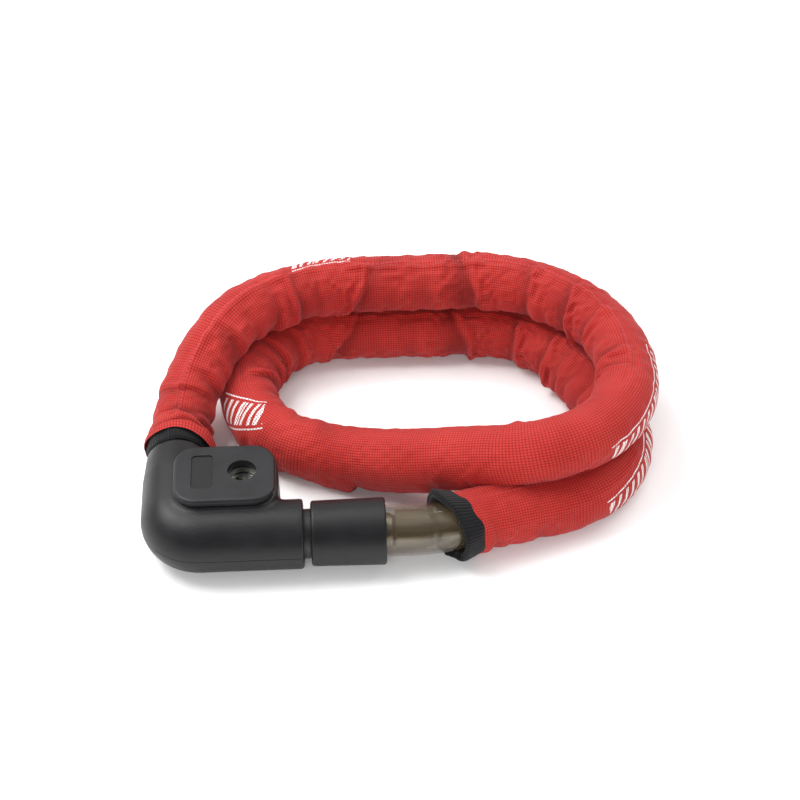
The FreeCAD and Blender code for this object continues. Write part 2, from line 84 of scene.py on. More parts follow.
def advance(point, heading, length, rate):
    if rate == 0:
        return point[0] + length * math.cos(heading), point[1] + length * math.sin(heading)
    end = heading - rate * length
    return (point[0] + (math.sin(heading) - math.sin(end)) / rate,
            point[1] - (math.cos(heading) - math.cos(end)) / rate)


def lay_out(plan):
    stretches, point, heading, travelled = [], START, math.pi / 2, 0.0
    for size, degrees in plan:
        turn = math.radians(degrees)
        length = size * turn if degrees else size
        rate = 1 / size if degrees else 0
        stretches.append((travelled, rate, point, heading))
        point = advance(point, heading, length, rate)
        heading -= turn
        travelled += length
    return stretches, point, travelled


def close_plan():
    """Solve the two open straights so that the cable ends on the socket's axis."""
    trial = [(size or 0.0, degrees) for size, degrees in PLAN]
    first, second = [i for i, (size, _) in enumerate(PLAN) if size is None]
    tip = lay_out(trial)[1]
    slant = math.radians(PLAN[first + 1][1])
    run = (tip[1] - END[1]) / math.sin(slant)
    trial[first] = (END[0] - tip[0] - run * math.cos(slant), 0)
    trial[second] = (run, 0)
    return lay_out(trial)


STRETCHES, _, PATH_LENGTH = close_plan()


def ease(u, a, b):
    t = np.clip((u - a) / (b - a), 0, 1)
    return t * t * (3 - 2 * t)


def axis_point(u):
    """Point on the cable's axis at plan length u from the end of the head's side arm."""
    if u <= 0:
        return (START[0], START[1] + u, HEAD_Z)
    if u >= PATH_LENGTH:
        return (END[0] - (u - PATH_LENGTH), END[1], HEAD_Z)
    begin, rate, point, heading = [s for s in STRETCHES if s[0] <= u][-1]
    x, y = advance(point, heading, u - begin, rate)
    z = HEAD_Z + (HIGH_Z - HEAD_Z) * ease(u, 10, 88) + (LOW_Z - HIGH_Z) * ease(u, 352, 468)
    return (x, y, z + (HEAD_Z - LOW_Z) * ease(u, PATH_LENGTH - 70, PATH_LENGTH - 20))


def frames_along(us):
    """Axis points with the tangent, the side towards the inside of the coil and the up side."""
    point = np.array([axis_point(u) for u in us])
    step = 0.1
    tangent = np.array([axis_point(u + step) for u in us]) - np.array([axis_point(u - step) for u in us])
    tangent /= np.linalg.norm(tangent, axis=1)[:, None]
    inner = np.cross(tangent, [0, 0, 1])
    inner /= np.linalg.norm(inner, axis=1)[:, None]
    return point, tangent, inner, np.cross(inner, tangent)


PIVOT_PITCH = (PATH_LENGTH + 8.0 - 10.0) / SECTIONS


def pivot(k):
    return 10.0 + k * PIVOT_PITCH


bends = [j for j in frame["joints"] if j["name"].startswith("cable_")]
for k, joint in enumerate(sorted(bends, key=lambda j: int(j["child"].split("_")[1]))):
    gap = np.linalg.norm(np.array(joint["pos_m"])[:2] / MM - np.array(axis_point(pivot(k)))[:2])
    assert gap < 0.1, "the cable's path and the joints differ"


# ---------------------------------------------------------------- material helpers
class Shader:
    """Small wrapper that keeps node building short."""

    def __init__(self, name):
        self.mat = bpy.data.materials.new(name)
        self.mat.use_nodes = True
        self.tree = self.mat.node_tree
        self.bsdf = self.tree.nodes["Principled BSDF"]

    def node(self, kind, inputs=None, **props):
        made = self.tree.nodes.new("ShaderNode" + kind)
        for key, value in props.items():
            setattr(made, key, value)
        for key, value in (inputs or {}).items():
            self.put(made.inputs[key], value)
        return made

    def put(self, socket, value):
        if isinstance(value, bpy.types.NodeSocket):
            self.tree.links.new(value, socket)
        else:
            socket.default_value = value

    def math(self, operation, a, b=0.0, clamp=False):
        made = self.node("Math", {0: a, 1: b}, operation=operation, use_clamp=clamp)
        return made.outputs[0]

    def mix(self, factor, a, b):
        made = self.node("Mix", {0: factor, 6: a, 7: b}, data_type="RGBA")
        return made.outputs[2]

    def object_space(self):
        return self.node("TexCoord").outputs["Object"]

    def noise(self, scale, vector=None, detail=3.0, roughness=0.5):
        inputs = {"Scale": scale, "Detail": detail, "Roughness": roughness}
        inputs["Vector"] = vector or self.object_space()
        return self.node("TexNoise", inputs).outputs["Fac"]

    def stretch(self, value, a, b, to_a=0.0, to_b=1.0):
        inputs = {"Value": value, "From Min": a, "From Max": b, "To Min": to_a, "To Max": to_b}
        return self.node("MapRange", inputs).outputs[0]

    def bump(self, height, distance, strength=1.0, normal=None):
        inputs = {"Height": height, "Distance": distance, "Strength": strength}
        if normal is not None:
            inputs["Normal"] = normal
        return self.node("Bump", inputs).outputs[0]

    def set(self, **values):
        for key, value in values.items():
            self.put(self.bsdf.inputs[key.replace("_", " ")], value)
        return self


def grey(value, alpha=1.0):
    return (value, value, value, alpha)


def nylon(name, base, rough):
    """Shader of black nylon with a fine moulded grain, pale specks and rubbed patches."""
    s = Shader(name)
    grain = s.noise(3200, detail=2.0)
    pebble = s.node("TexVoronoi", {"Vector": s.object_space(), "Scale": 1500.0}).outputs["Distance"]
    patches = s.noise(70, detail=4.0)
    colour = s.mix(s.stretch(patches, 0.35, 0.7), (base, base, base * 1.12, 1),
                   (base * 1.45, base * 1.47, base * 1.65, 1))
    specks = s.stretch(s.noise(900, detail=1.0), 0.68, 0.78)
    colour = s.mix(s.math("MULTIPLY", specks, 0.25), colour, grey(base * 3.2))
    roughness = s.math("ADD", s.stretch(patches, 0.3, 0.7, rough - 0.05, rough + 0.07),
                       s.stretch(grain, 0.3, 0.7, -0.03, 0.03))
    height = s.math("ADD", grain, s.math("MULTIPLY", pebble, 0.7))
    return s.set(Base_Color=colour, Roughness=roughness, Normal=s.bump(height, 0.00006, 0.7),
                 Specular_IOR_Level=0.34)


def metal(name, colour, rough, brush=(40.0, 40.0, 2500.0), depth=0.00002):
    """Machined metal: fine tool lines, uneven polish, a few dull spots."""
    s = Shader(name)
    stretched = s.node("Mapping", {"Vector": s.object_space(), "Scale": brush}).outputs[0]
    lines = s.noise(1.0, stretched, detail=4.0, roughness=0.7)
    spots = s.noise(260, detail=5.0, roughness=0.65)
    dark = tuple(c * 0.62 for c in colour) + (1,)
    tint = s.mix(s.stretch(spots, 0.45, 0.75), tuple(colour) + (1,), dark)
    roughness = s.math("ADD", s.stretch(lines, 0.3, 0.7, rough - 0.06, rough + 0.08),
                       s.stretch(spots, 0.5, 0.8, 0.0, 0.15))
    s.set(Base_Color=tint, Metallic=1.0, Roughness=roughness, Normal=s.bump(lines, depth, 0.6))
    return s.mat


def cap_plastic_painted_light():
    """The head's plastic on the tower cap: a lighter copy of the covers' nylon, painted light for its top, with
    the sunk label field a little duller and darker.
    """
    s = nylon("cap_plastic_painted_light", 0.0095, 0.43)
    xyz = s.node("SeparateXYZ", {0: s.object_space()}).outputs
    sunk = s.math("LESS_THAN", xyz[2], 0.0348)
    left = s.math("LESS_THAN", xyz[0], -0.0121)
    normal = s.node("NewGeometry").outputs["Normal"]
    flat = s.math("GREATER_THAN", s.node("SeparateXYZ", {0: normal}).outputs[2], 0.9)
    field = s.math("MULTIPLY", s.math("MULTIPLY", sunk, left), flat)
    colour = s.bsdf.inputs["Base Color"].links[0].from_socket
    rough = s.bsdf.inputs["Roughness"].links[0].from_socket
    s.set(Base_Color=s.mix(field, colour, (0.0045, 0.0045, 0.005, 1)),
          Roughness=s.math("ADD", rough, s.math("MULTIPLY", field, 0.12)))
    return s.mat


def stud_steel():
    """Bright turned stud whose neck, where it stands in the gap between head and collar, is coloured near black
    and not metallic.
    """
    s = Shader("stud_steel")
    x = s.node("SeparateXYZ", {0: s.object_space()}).outputs[0]
    neck_from, neck_to = 0.0219, 0.0347
    neck = s.math("MULTIPLY", s.math("GREATER_THAN", x, neck_from), s.math("LESS_THAN", x, neck_to))
    turned = s.node("Mapping", {"Vector": s.object_space(), "Scale": (2500, 40, 40)}).outputs[0]
    lines = s.noise(1.0, turned)
    oil = s.noise(400, detail=4.0)
    bright = s.mix(s.stretch(oil, 0.4, 0.8), grey(0.55), grey(0.33))
    black = s.mix(s.stretch(oil, 0.4, 0.8), grey(0.010), grey(0.022))
    roughness = s.math("ADD", s.stretch(lines, 0.3, 0.7, 0.24, 0.36), s.math("MULTIPLY", neck, 0.15))
    s.set(Base_Color=s.mix(neck, bright, black), Metallic=s.math("SUBTRACT", 1.0, neck),
          Roughness=roughness,
          Normal=s.bump(lines, 0.00002, 0.6))
    return s.mat


def polished(name, seams=()):
    """Hardened steel shells, polished, hazy, a little greasy; seams are (x, half width) in mm."""
    s = Shader(name)
    haze = s.noise(60, detail=2.0)
    grease = s.stretch(s.noise(130, detail=2.0), 0.62, 0.8)
    x = s.math("MULTIPLY", s.node("SeparateXYZ", {0: s.object_space()}).outputs[0], 1 / MM)
    for at, half in seams:
        near = s.math("LESS_THAN", s.math("ABSOLUTE", s.math("SUBTRACT", x, at)), half)
        grease = s.math("MAXIMUM", grease, s.math("MULTIPLY", near, 2.0))
    tint = s.mix(s.stretch(haze, 0.35, 0.65), (0.40, 0.345, 0.26, 1), (0.32, 0.28, 0.215, 1))
    s.set(Base_Color=s.mix(s.math("MULTIPLY", grease, 0.5), tint, grey(0.08)), Metallic=1.0,
          Roughness=s.stretch(haze, 0.3, 0.7, 0.16, 0.24))
    return s.mat


def rubber():
    s = Shader("gasket_rubber")
    grain = s.noise(1800, detail=3.0)
    s.set(Base_Color=s.mix(s.stretch(grain, 0.3, 0.7), grey(0.012), grey(0.03)),
          Roughness=s.stretch(grain, 0.3, 0.7, 0.6, 0.8), Normal=s.bump(grain, 0.00005))
    return s.mat


def wire_rope():
    """Stranded steel wire: slanted bright strands with dark oil between them."""
    s = Shader("wire_rope")
    wave = s.node("TexWave", {"Vector": s.object_space(), "Scale": 330.0, "Distortion": 0.6},
                  bands_direction="DIAGONAL")
    lay = wave.outputs["Fac"]
    s.set(Base_Color=s.mix(lay, grey(0.03), grey(0.42)), Metallic=1.0,
          Roughness=s.stretch(lay, 0, 1, 0.6, 0.3), Normal=s.bump(lay, 0.0003))
    return s.mat


def smoked_hose():
    """Smoked see-through PVC, glossy, with faint flow streaks and scuffs."""
    s = Shader("smoked_hose")
    drawn = s.node("Mapping", {"Vector": s.object_space(), "Scale": (25, 170, 170)}).outputs[0]
    streaks = s.noise(1.0, drawn)
    scuffs = s.stretch(s.noise(500, detail=5.0, roughness=0.7), 0.62, 0.85)
    tint = s.mix(s.stretch(streaks, 0.3, 0.7), (0.125, 0.092, 0.052, 1), (0.080, 0.058, 0.034, 1))
    s.set(Base_Color=tint, Roughness=s.math("ADD", s.math("MULTIPLY", scuffs, 0.12), 0.1),
          Alpha=0.34, Specular_IOR_Level=0.8, Coat_Weight=0.8, Coat_Roughness=0.05)
    return s.mat


MARK_HALF_MM = 6.9      # from a woven mark's middle to each of its two lines
# Generic woven marks: plan length, angle round the sleeve, half length, turn on the cloth.
MARKS = [(507.5, -45.0, 11.5, 39.0), (319.0, -90.0, 27.0, 9.6), (786.0, -80.0, 23.0, 13.0),
         (123.0, -34.0, 14.0, 0.0)]
CLOTH_R_MM = 13.4       # radius that turns an angle round the sleeve into a length on the cloth
RIB_MM = 1.2
DOT_MM = 1.15


def woven_mark(s, u, v, mark):
    """Two thin lines with slanted bars between them, made of separate white stitches."""
    at, angle, half, turn = mark
    du = s.math("SUBTRACT", u, at)
    dv = s.math("SUBTRACT", v, math.radians(angle) * CLOTH_R_MM)
    c, n = math.cos(math.radians(turn)), math.sin(math.radians(turn))
    a = s.math("SUBTRACT", s.math("MULTIPLY", du, c), s.math("MULTIPLY", dv, n))
    b = s.math("ADD", s.math("MULTIPLY", du, n), s.math("MULTIPLY", dv, c))
    inside = s.math("LESS_THAN", s.math("ABSOLUTE", a), half)
    off_line = s.math("ABSOLUTE", s.math("SUBTRACT", s.math("ABSOLUTE", b), MARK_HALF_MM))
    line = s.math("LESS_THAN", off_line, 0.34)
    lean = s.math("ADD", a, s.math("MULTIPLY", b, 0.45))
    wide = s.math("LESS_THAN", s.math("FLOORED_MODULO", lean, 3.7), 1.35)
    fine = s.math("LESS_THAN", s.math("FLOORED_MODULO", s.math("ADD", lean, 1.3), 8.3), 0.8)
    bars = s.math("MULTIPLY", s.math("MAXIMUM", wide, fine),
                  s.math("LESS_THAN", s.math("ABSOLUTE", b), MARK_HALF_MM - 1.7))
    return s.math("MULTIPLY", inside, s.math("MAXIMUM", line, bars))


def sleeve_fabric():
    """Red polyester weave: fine ribs round the tube crossed by rows of small stitches, with painted shade in the
    folds.
    """
    s = Shader("sleeve_fabric")
    uv = s.node("SeparateXYZ", {0: s.node("UVMap", uv_map="cloth").outputs[0]})
    u = s.math("MULTIPLY", uv.outputs[0], 1 / MM)
    v = s.math("MULTIPLY", uv.outputs[1], 1 / MM)
    wobble = s.math("MULTIPLY", s.noise(90, detail=2.0), 0.5)
    ribs = s.math("SINE", s.math("MULTIPLY", s.math("ADD", u, wobble), math.pi / RIB_MM))
    ribs = s.math("ABSOLUTE", ribs)
    dots = s.math("ABSOLUTE", s.math("SINE", s.math("MULTIPLY", v, math.pi / DOT_MM)))
    thread = s.math("MULTIPLY", s.math("POWER", ribs, 0.5), s.math("POWER", dots, 0.55))
    fuzz = s.noise(5200, detail=2.0)
    tone = s.noise(38, detail=4.0)
    red = s.mix(s.stretch(tone, 0.3, 0.7), (0.40, 0.022, 0.018, 1), (0.48, 0.034, 0.028, 1))
    dark = s.mix(s.stretch(tone, 0.3, 0.7), (0.150, 0.007, 0.006, 1), (0.19, 0.010, 0.008, 1))
    colour = s.mix(s.stretch(thread, 0.12, 0.75), dark, red)
    colour = s.mix(s.math("MULTIPLY", s.stretch(fuzz, 0.55, 0.8), 0.14), colour, (0.62, 0.10, 0.08, 1))
    # Painted shade: the cloth turns darker red the deeper it lies in a fold.
    fold = s.node("Attribute", attribute_name="fold").outputs["Fac"]
    colour = s.mix(s.math("MULTIPLY", fold, 0.6, True), colour, (0.10, 0.006, 0.005, 1))
    seam = s.node("Attribute", attribute_name="seam").outputs["Fac"]
    stitch = s.math("LESS_THAN", s.math("FLOORED_MODULO", u, 2.1), 1.35)
    on_seam = s.math("LESS_THAN", s.math("ABSOLUTE", v), 0.45)
    stitch = s.math("MULTIPLY", s.math("MULTIPLY", stitch, on_seam), seam)
    colour = s.mix(s.math("MULTIPLY", stitch, 0.3), colour, (0.60, 0.08, 0.10, 1))
    white = woven_mark(s, u, v, MARKS[0])
    for mark in MARKS[1:]:
        white = s.math("MAXIMUM", white, woven_mark(s, u, v, mark))
    white = s.math("MULTIPLY", white, s.stretch(thread, 0.18, 0.5))
    colour = s.mix(white, colour, (0.83, 0.80, 0.79, 1))
    height = s.math("ADD", s.math("MULTIPLY", thread, 0.9), s.math("MULTIPLY", white, 0.35))
    height = s.math("ADD", height, s.math("MULTIPLY", fuzz, 0.25))
    s.set(Base_Color=colour, Roughness=s.stretch(thread, 0, 1, 0.92, 0.74), Specular_IOR_Level=0.28,
          Sheen_Weight=0.22, Sheen_Roughness=0.4, Sheen_Tint=(1.0, 0.32, 0.34, 1),
          Normal=s.bump(height, 0.00022, 0.8))
    return s.mat


def hem_elastic():
    """Black elastic band: ribs along the cable, cross stitches, pale lint."""
    s = Shader("hem_elastic")
    uv = s.node("SeparateXYZ", {0: s.node("UVMap", uv_map="cloth").outputs[0]})
    u = s.math("MULTIPLY", uv.outputs[0], 1 / MM)
    v = s.math("MULTIPLY", uv.outputs[1], 1 / MM)
    ribs = s.math("ABSOLUTE", s.math("SINE", s.math("MULTIPLY", v, math.pi / 1.25)))
    cross = s.math("ABSOLUTE", s.math("SINE", s.math("MULTIPLY", u, math.pi / 0.7)))
    lint = s.stretch(s.noise(4200, detail=3.0), 0.62, 0.78)
    height = s.math("ADD", s.math("POWER", ribs, 0.6), s.math("MULTIPLY", cross, 0.35))
    colour = s.mix(s.stretch(height, 0.3, 1.25), grey(0.0025), (0.0095, 0.0095, 0.011, 1))
    colour = s.mix(s.math("MULTIPLY", lint, 0.22), colour, grey(0.06))
    s.set(Base_Color=colour, Roughness=0.9, Specular_IOR_Level=0.15, Sheen_Weight=0.08,
          Sheen_Roughness=0.5, Normal=s.bump(height, 0.00035, 0.9))
    return s.mat


MATERIALS = {
    # The covers' nylon is darker than the cap's lighter copy of it: painted shade on the head's sides.
    "head_plastic": nylon("head_plastic", 0.0062, 0.43).mat,
    "cast_housing": metal("cast_housing", (0.32, 0.32, 0.33), 0.5, (500.0, 500.0, 500.0), 0.00008),
    "steel": metal("steel", (0.55, 0.55, 0.56), 0.3),
    "core_steel": metal("core_steel", (0.36, 0.35, 0.31), 0.26, (1500.0, 90.0, 90.0)),
    "chrome_trim": metal("chrome_trim", (0.42, 0.42, 0.41), 0.16),
    "disc_brass": metal("disc_brass", (0.72, 0.55, 0.27), 0.3),
    "armour_steel": polished("armour_steel"),
    "wire_rope": wire_rope(),
    "smoked_hose": smoked_hose(),
    "sleeve_fabric": sleeve_fabric(),
    "hem_elastic": hem_elastic(),
    "gasket_rubber": rubber(),
}


def dress(obj, slot):
    """Give an object its slot's material."""
    if obj.material_slots:
        for held in obj.material_slots:
            held.material = MATERIALS[slot]
    else:
        obj.data.materials.append(MATERIALS[slot])


for part in frame["record"]["subparts"]:
    dress(nodes[part["node"]], part["material_slot"])
SHELL_SEAMS = [(76.6, 0.35), (79.9, 0.8)]     # x and half width of the seams seen through the hose, mm
for name, made in (("tower_cap", cap_plastic_painted_light()), ("plug_stud", stud_steel()),
                   ("armour_7", polished("seamed_armour", SHELL_SEAMS))):
    for held in nodes[name].material_slots:
        held.material = made


# ---------------------------------------------------------------- mesh helpers
def new_object(name, verts, faces, slot):
    mesh = bpy.data.meshes.new(name)
    mesh.from_pydata(verts, [], faces)
    mesh.polygons.foreach_set("use_smooth", [True] * len(mesh.polygons))
    obj = bpy.data.objects.new(name, mesh)
    scene.collection.objects.link(obj)
    dress(obj, slot)
    return obj


def grid_faces(rows, around):
    """Quads of an open tube, seen from outside."""
    faces = []
    for i in range(rows - 1):
        for j in range(around):
            n = (j + 1) % around
            faces.append((i * around + j, i * around + n, (i + 1) * around + n, (i + 1) * around + j))
    return faces


def cloth_uv(mesh, rows, around, u_mm, radius_mm):
    """UV in metres: along the cable, and round it from the top, split underneath."""
    layer = mesh.uv_layers.new(name="cloth")
    index = np.empty(len(mesh.loops), int)
    mesh.loops.foreach_get("vertex_index", index)
    angle = (np.arange(around) / around * 2 * math.pi + math.pi) % (2 * math.pi) - math.pi
    uv = np.empty((len(index), 2))
    uv[:, 0] = u_mm[index // around] * MM
    turned = angle[index % around].reshape(-1, 4)
    wraps = turned.max(1) - turned.min(1) > math.pi
    turned[wraps] = np.where(turned[wraps] < 0, turned[wraps] + 2 * math.pi, turned[wraps])
    uv[:, 1] = turned.reshape(-1) * radius_mm * MM
    layer.data.foreach_set("uv", uv.reshape(-1).astype(np.float32))


def point_attribute(mesh, name, values):
    layer = mesh.attributes.new(name, "FLOAT", "POINT")
    layer.data.foreach_set("value", values.reshape(-1).astype(np.float32))


def grid_normals(co):
    """Smooth normals of a closed-round grid, so that neighbouring pieces shade alike."""
    along = np.gradient(co, axis=0)
    round_ = np.roll(co, -1, 1) - np.roll(co, 1, 1)
    n = np.cross(round_, along)
    return n / np.linalg.norm(n, axis=2)[..., None]


def apply_modifiers(obj):
    """Bake the modifiers into the mesh."""
    graph = bpy.context.evaluated_depsgraph_get()
    mesh = bpy.data.meshes.new_from_object(obj.evaluated_get(graph))
    obj.modifiers.clear()
    obj.data = mesh


# ---------------------------------------------------------------- woven sleeve
SLEEVE_END_X = 97.0     # where the sleeve and its hem meet, on the cable's last bend
SLEEVE_TIP = PATH_LENGTH + END[0] - SLEEVE_END_X + 0.3
SLEEVE_U = (7.0, SLEEVE_TIP + 2.5)
BAND_END = 10.6         # the head hem's outer end
OVER_BAND_R = 15.0      # the sleeve's least radius where it lies over the head hem
FINE = (1240, 96)       # rows along the cable and points round it, as shown
COARSE = (310, 32)      # the same for the cloth that settles
SETTLING_FRAMES = 14
MOST_SETTLED_MM = 2.5
# Folds: plan length, depth in mm, half width in mm, slant in mm per radian, middle angle, half arc.
# A negative half width puts the steep side with its overlapping lip on the head's side.
FOLDS = [
    (14.0, 3.2, -1.2, 1.5, 60, 150), (18.5, 3.3, -1.5, -1.5, 85, 130), (24.0, 2.6, -1.7, 1.0, 75, 100),
    (33, 2.0, 1.6, 1.5, -5, 85), (40, 2.1, 3.0, -3.0, 85, 85), (50, 1.1, 2.5, -3.5, 70, 75),
    (62, 2.3, 2.8, -3.5, 85, 85), (78, 1.5, 3.0, -2.0, 85, 80), (93, 2.2, 3.0, -1.5, 80, 80),
    (108, 2.6, -2.0, 1.5, 75, 95), (118, 1.3, 3.0, 0.0, 85, 80), (142, 3.0, -2.4, -6.5, 80, 105),
    (156, 0.8, 4.0, 1.0, 95, 70), (172, 1.2, 3.6, 0.0, 85, 80), (192, 3.8, 3.0, 2.4, 70, 150),
    (207, 0.7, 4.5, 3.0, 90, 70), (225, 2.8, 2.4, 1.2, 85, 100), (238, 0.7, 3.0, -2.0, 100, 70),
    (250, 3.4, 1.9, 2.0, 85, 105), (259, 0.9, 2.5, 1.5, 80, 70), (269, 2.2, 1.9, 2.0, 75, 90),
    (284, 0.9, 3.0, -1.0, 80, 70), (299, 2.1, 1.7, 2.0, 70, 85), (307, 1.4, 1.8, -2.0, 60, 80),
    (330, 0.7, 4.0, 0.0, 120, 60), (356, 0.5, 5.0, 1.0, 140, 60), (398, 0.6, 5.0, 1.0, -150, 50),
    (379, -3.4, 3.4, 0.0, 45, 40), (418, 1.7, 3.8, 0.0, -145, 48), (452, 3.0, 2.6, 0.0, -145, 52),
    (466, -1.6, 4.2, 1.0, -140, 45), (483, 2.0, 3.0, 2.0, -150, 50), (470, 0.9, 3.4, 2.0, 20, 60),
    (489, 1.5, 3.0, 2.0, 75, 80), (503, 1.2, 3.0, 1.0, 90, 70), (517, 1.9, 2.6, 2.0, 95, 80),
    (530, 3.0, 2.0, 4.0, 80, 95), (541, 2.3, 1.8, -2.0, 85, 85), (551, 2.7, 1.8, -1.0, 80, 85),
    (565, 2.4, 2.0, 0.0, 85, 85), (578, 1.0, 3.0, 1.0, 85, 75), (597, 3.0, -2.4, -6.5, 80, 105),
    (612, 0.8, 4.0, 1.0, 95, 70), (630, 1.3, 3.6, 0.0, 85, 80), (651, 3.6, 3.0, 2.4, 75, 150),
    (666, 0.7, 4.0, 2.0, 90, 70), (684, 2.8, 2.4, 1.2, 85, 100), (708, 3.2, 1.9, 2.0, 85, 105),
    (721, 1.7, 2.0, 2.0, 80, 85), (731, 1.3, 2.2, -1.0, 85, 80), (742, 1.9, 2.0, 1.5, 80, 85),
    (755, 1.0, 3.0, 0.0, 85, 70), (779, 0.8, 3.5, 1.0, 90, 60), (812, 0.5, 4.5, 1.0, -150, 60),
    (838, 1.0, 3.5, 1.0, -130, 60), (852, 0.8, 3.0, -1.0, 60, 60), (861, 1.2, 2.2, 2.0, -120, 80),
]


def wave_field(u, v, count, along_mm, size):
    """Sum of seeded ripples that run mostly round the sleeve."""
    field = np.zeros(np.broadcast(u, v).shape)
    for _ in range(count):
        length = rng.uniform(*along_mm)
        turns = rng.integers(-2, 3)
        field += np.sin(2 * math.pi * u / length + turns * v + rng.uniform(0, 2 * math.pi))
    return field * size / math.sqrt(count)


def wrap(angle):
    return (angle + math.pi) % (2 * math.pi) - math.pi


def sleeve_radius(u, v, ripples):
    """Radius of the loose sleeve and how deep each point lies in a fold."""
    knots = [0, 11, 15, 24, 90, 125, 250, 285, 320, 480, 500, 560, 590, 715, 750, 800, 880]
    sizes = [15.0, 15.0, 14.3, 13.5, 13.3, 12.9, 12.9, 13.3, 14.0, 14.0, 13.5, 13.1, 12.8, 12.8, 13.3,
             13.6, 13.9]
    radius = np.interp(u, knots, sizes) + 0 * v
    fold = 0 * radius
    for at, depth, half, slant, middle, arc in FOLDS:
        turned = wrap(v - math.radians(middle))
        reach = np.cos(np.clip(turned * math.pi / 2 / math.radians(arc), -math.pi / 2, math.pi / 2))
        reach = np.clip(reach, 0, 1) ** 0.7
        wander = 0.8 * np.sin(2.3 * v + at) + 0.45 * np.sin(5.1 * v + 1.7 * at)
        uneven = 0.78 + 0.22 * np.sin(3.0 * v + 0.9 * at)
        width = half * (1 + 0.3 * np.sin(2.0 * v + 1.3 * at))
        s = (u - at - slant * turned - wander * min(1.0, abs(half) / 2)) / width
        valley = np.exp(-np.abs(s / np.where(s < 0, 2.3, 0.75 if depth > 0 else 1.5)) ** 1.4)
        past = np.maximum(s - 0.55, 0)
        lip = (depth > 0) * (1 - np.exp(-((past / 0.6) ** 2))) * np.exp(-((past / 4.2) ** 1.5))
        swell = 0.25 * np.exp(-(((s - 0.5) / 4.5) ** 2)) + 0.55 * lip
        radius = radius + depth * reach * uneven * (swell - 1.0 * valley)
        fold = fold + depth * reach * uneven * (valley - 0.3 * lip)
    ridge_size = np.interp(u, [0, 14, 26, 290, 310, 480, 560, 590, 700, 740, 780, 850, 870],
                           [0, 0, 1.9, 1.6, 0.3, 0.2, 0.3, 1.6, 1.4, 0.4, 0.9, 0.9, 0])
    turn_knots = [0, 40, 70, 110, 140, 210, 260, 560, 600, 690, 740, 770, 800, 835, 880]
    turns = [-4, -4, 10, 8, 15, 15, 6, 0, 14, 14, 0, -25, -45, -66, -75]
    ridge_at = np.radians(np.interp(u, turn_knots, turns))
    d = wrap(v - ridge_at)
    inner_flat = 0.55 * np.exp(-((d - 0.55) / 0.45) ** 2)
    outer_flat = 0.25 * np.exp(-((d + 0.55) / 0.5) ** 2)
    crest = np.exp(-np.abs(d / 0.12) ** 1.3)
    radius = radius + ridge_size * (crest - inner_flat - outer_flat)
    lively = 0.45 + 0.55 * np.interp(u, [0, 300, 330, 470, 500, 760, 790], [1, 1, 0, 0, 1, 1, 0.1])
    return radius + ripples * lively, fold, ridge_size + 0 * v


def limits(points, inner, up, v, us):
    """Largest radius in each direction that stays off the ground and on this strand's side of others."""
    direction = np.cos(v)[None, :, None] * up[:, None] + np.sin(v)[None, :, None] * inner[:, None]
    most = np.full(direction.shape[:2], 20.0)
    down = -direction[..., 2]
    ground = (points[:, 2:3] - 0.35) / np.maximum(down, 1e-3)
    most = np.where(down > 0.05, np.minimum(most, ground), most)
    others_u = np.arange(0, PATH_LENGTH + 30, 2.0)
    others = np.array([axis_point(u) for u in others_u])
    for i in range(len(points)):
        offset = others - points[i]
        away = np.linalg.norm(offset, axis=1)
        near = (away < 34) & (np.abs(others_u - us[i]) > 60)
        if near.any():
            facing = direction[i] @ (offset[near] / away[near][:, None]).T
            room = np.where(facing > 0.05, (away[near] / 2 - 0.12) / np.maximum(facing, 0.05), 20.0)
            most[i] = np.minimum(most[i], room.min(1))
    return most


def tube_points(us, v, radius, slide):
    """Grid of points round the axis; slide moves points along the cable."""
    point, tangent, inner, up = frames_along(us)
    shape = np.cos(v)[None, :, None] * up[:, None] + np.sin(v)[None, :, None] * inner[:, None]
    return point[:, None] + radius[..., None] * shape + slide[..., None] * tangent[:, None]


def drape(co, us):
    """Let the sleeve settle as cloth over the hose, and return how far every point moved."""
    rows, around = co.shape[:2]
    cloth = new_object("settling", (co.reshape(-1, 3) * MM).tolist(), grid_faces(rows, around),
                       "sleeve_fabric")
    pinned = cloth.vertex_groups.new(name="pinned")
    ends = list(range(2 * around)) + list(range((rows - 2) * around, rows * around))
    pinned.add(ends, 1.0, "REPLACE")
    sides = 24
    hose_us = np.arange(-5, PATH_LENGTH + 10, 5.0)
    hose_v = np.arange(sides) / sides * 2 * math.pi
    size = (len(hose_us), sides)
    hose_co = tube_points(hose_us, hose_v, np.full(size, HOSE_R), np.zeros(size))
    hose = new_object("settling_hose", (hose_co.reshape(-1, 3) * MM).tolist(), grid_faces(*size),
                      "smoked_hose")
    hose.modifiers.new("Collision", "COLLISION")
    hose.collision.thickness_outer = 0.001
    hose.collision.cloth_friction = 20
    cloth_mod = cloth.modifiers.new("Cloth", "CLOTH")
    settings = cloth_mod.settings
    settings.quality = 5
    settings.mass = 0.03
    settings.tension_stiffness = 12
    settings.compression_stiffness = 12
    settings.shear_stiffness = 3
    settings.bending_stiffness = 0.01
    settings.air_damping = 1
    settings.vertex_group_mass = "pinned"
    cloth_mod.collision_settings.collision_quality = 2
    cloth_mod.collision_settings.distance_min = 0.0004
    cloth_mod.collision_settings.use_self_collision = False
    cloth_mod.point_cache.frame_start = 1
    cloth_mod.point_cache.frame_end = SETTLING_FRAMES
    for number in range(1, SETTLING_FRAMES + 1):
        scene.frame_set(number)
    graph = bpy.context.evaluated_depsgraph_get()
    settled = np.array([p.co for p in cloth.evaluated_get(graph).data.vertices])
    moved = settled.reshape(co.shape) / MM - co
    scene.frame_set(1)
    for obj in (cloth, hose):
        bpy.data.objects.remove(obj)
    length = np.linalg.norm(moved, axis=2)[..., None]
    return moved * np.minimum(1, MOST_SETTLED_MM / np.maximum(length, 1e-6))


